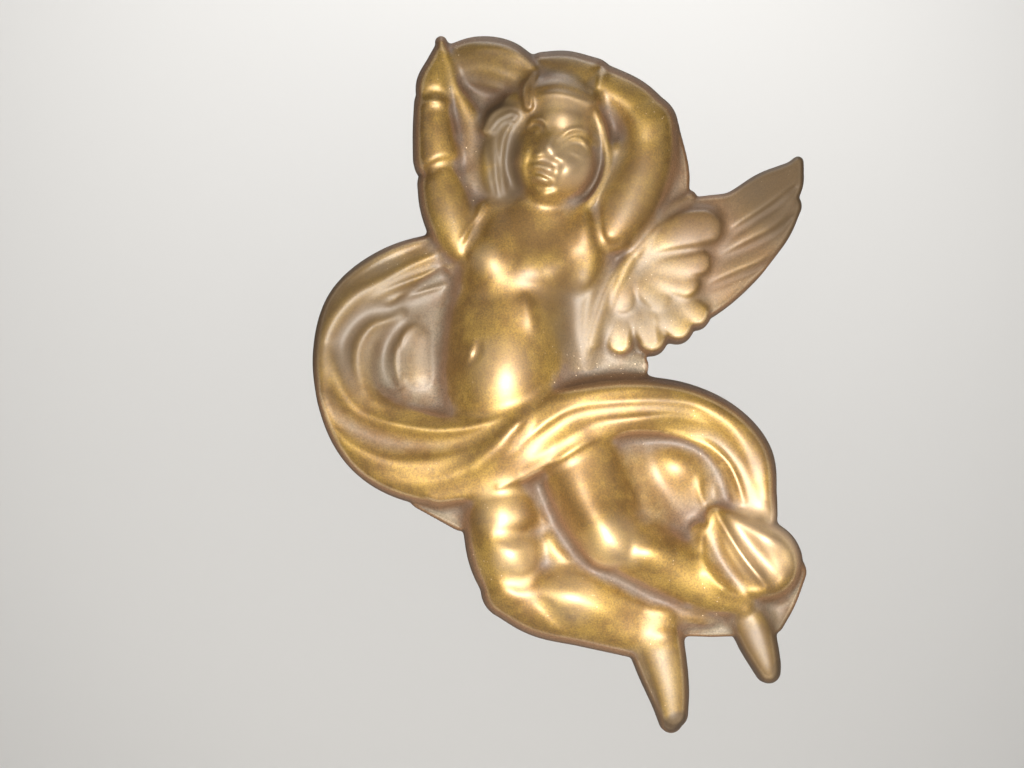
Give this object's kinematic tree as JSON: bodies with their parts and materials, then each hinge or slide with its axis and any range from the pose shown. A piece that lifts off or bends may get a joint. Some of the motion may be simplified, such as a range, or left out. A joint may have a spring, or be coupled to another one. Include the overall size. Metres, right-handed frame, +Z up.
{
  "type": "angel wall ornament",
  "caption": "Flat-backed wall ornament: a winged cherub in half-round relief with raised arms, swirling drapery and crossed legs, cast in plaster and finished in antique gold.",
  "frame": {"origin": "middle of the flat back, on the wall plane", "axes": "+Z up as it hangs, +Y into the wall, front towards -Y, +X to the viewer's right"},
  "size_m": [0.1835, 0.0342, 0.2599],
  "materials": {
    "antique_gold_plaster": "painted, satin, worn antique gold"
  },
  "bodies": {
    "root": {"cherub_relief": "antique_gold_plaster"}
  },
  "joints": []
}
